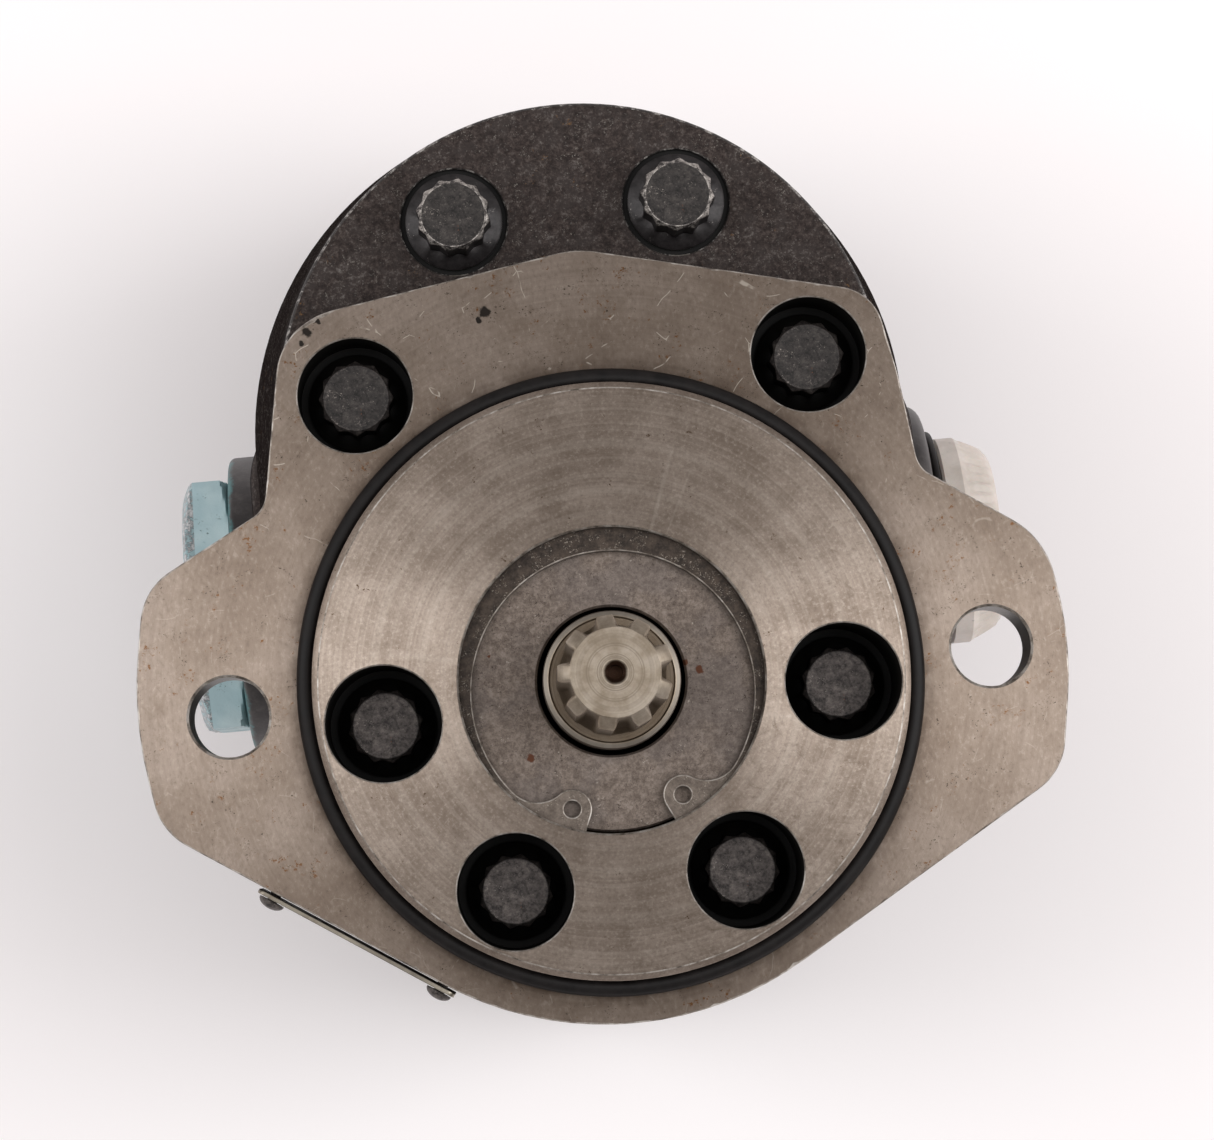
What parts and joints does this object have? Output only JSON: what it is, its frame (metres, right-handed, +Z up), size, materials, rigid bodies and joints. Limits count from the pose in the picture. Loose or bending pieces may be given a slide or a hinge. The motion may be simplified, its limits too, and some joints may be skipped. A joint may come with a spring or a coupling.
{
  "type": "hydraulic gear motor",
  "caption": "External gear hydraulic motor with a two-bolt flange, round pilot, splined shaft, bolted covers and a plugged port on each side.",
  "frame": {"origin": "on the shaft axis, in the flat rear face of the rear cover", "axes": "+Z up the shaft from the rear cover to the splined end; +Y from the drive gear axis to the idler gear axis; +X towards the port closed by the round ribbed plug"},
  "size_m": [0.1297, 0.1377, 0.1597],
  "materials": {
    "machined_iron": "ground and turned faces on a black casting",
    "black_iron": "black oxide skin, rough as cast",
    "shaft_steel": "turned, light brown storage stain",
    "bronze": "machined",
    "bolt_steel": "black oxide, worn at the points",
    "washer_steel": "dull grey, mottled",
    "spring_steel": "dark, satin",
    "rubber": "moulded, satin",
    "teal_paint": "sprayed teal, worn to steel at the edges",
    "ivory_plastic": "moulded, satin",
    "plate_aluminium": "rolled sheet",
    "rivet_steel": "plain"
  },
  "bodies": {
    "housing": {"front_cover": "machined_iron", "gear_housing": "black_iron", "rear_cover": "black_iron", "rear_drive_bushing": "bronze", "rear_idler_bushing": "bronze", "front_drive_bushing": "bronze", "front_idler_bushing": "bronze", "rear_pressure_plate": "bronze", "front_pressure_plate": "bronze", "rear_pressure_seal": "rubber", "front_pressure_seal": "rubber", "front_section_seal": "rubber", "rear_section_seal": "rubber", "front_dowel_1": "shaft_steel", "front_dowel_2": "shaft_steel", "rear_dowel_1": "shaft_steel", "rear_dowel_2": "shaft_steel", "seal_case": "washer_steel", "seal_lip": "rubber", "garter_spring": "spring_steel", "seal_washer": "washer_steel", "retaining_ring": "spring_steel", "pilot_o_ring": "rubber", "cover_bolt_1": "bolt_steel", "cover_bolt_2": "bolt_steel", "cover_bolt_3": "bolt_steel", "cover_bolt_4": "bolt_steel", "cover_bolt_5": "bolt_steel", "cover_bolt_6": "bolt_steel", "cover_bolt_7": "bolt_steel", "cover_bolt_8": "bolt_steel", "left_port_plug": "teal_paint", "right_port_plug": "ivory_plastic", "right_plug_gasket": "rubber", "left_plug_o_ring": "rubber", "name_plate": "plate_aluminium", "plate_rivet_1": "rivet_steel", "plate_rivet_2": "rivet_steel"},
    "drive_shaft": {"drive_gear_shaft": "shaft_steel"},
    "idler_shaft": {"idler_gear_shaft": "shaft_steel"}
  },
  "joints": [
    {"name": "shaft_spin", "type": "hinge", "parent": "housing", "child": "drive_shaft", "pos_m": [0, 0, 0.0516], "axis": [0, 0, 1], "continuous": true},
    {"name": "idler_spin", "type": "hinge", "parent": "housing", "child": "idler_shaft", "pos_m": [0, 0.0399, 0.0516], "axis": [0, 0, 1], "continuous": true}
  ],
  "couplings": [
    {"joint": "idler_spin", "follows": "shaft_spin", "ratio": -1}
  ]
}
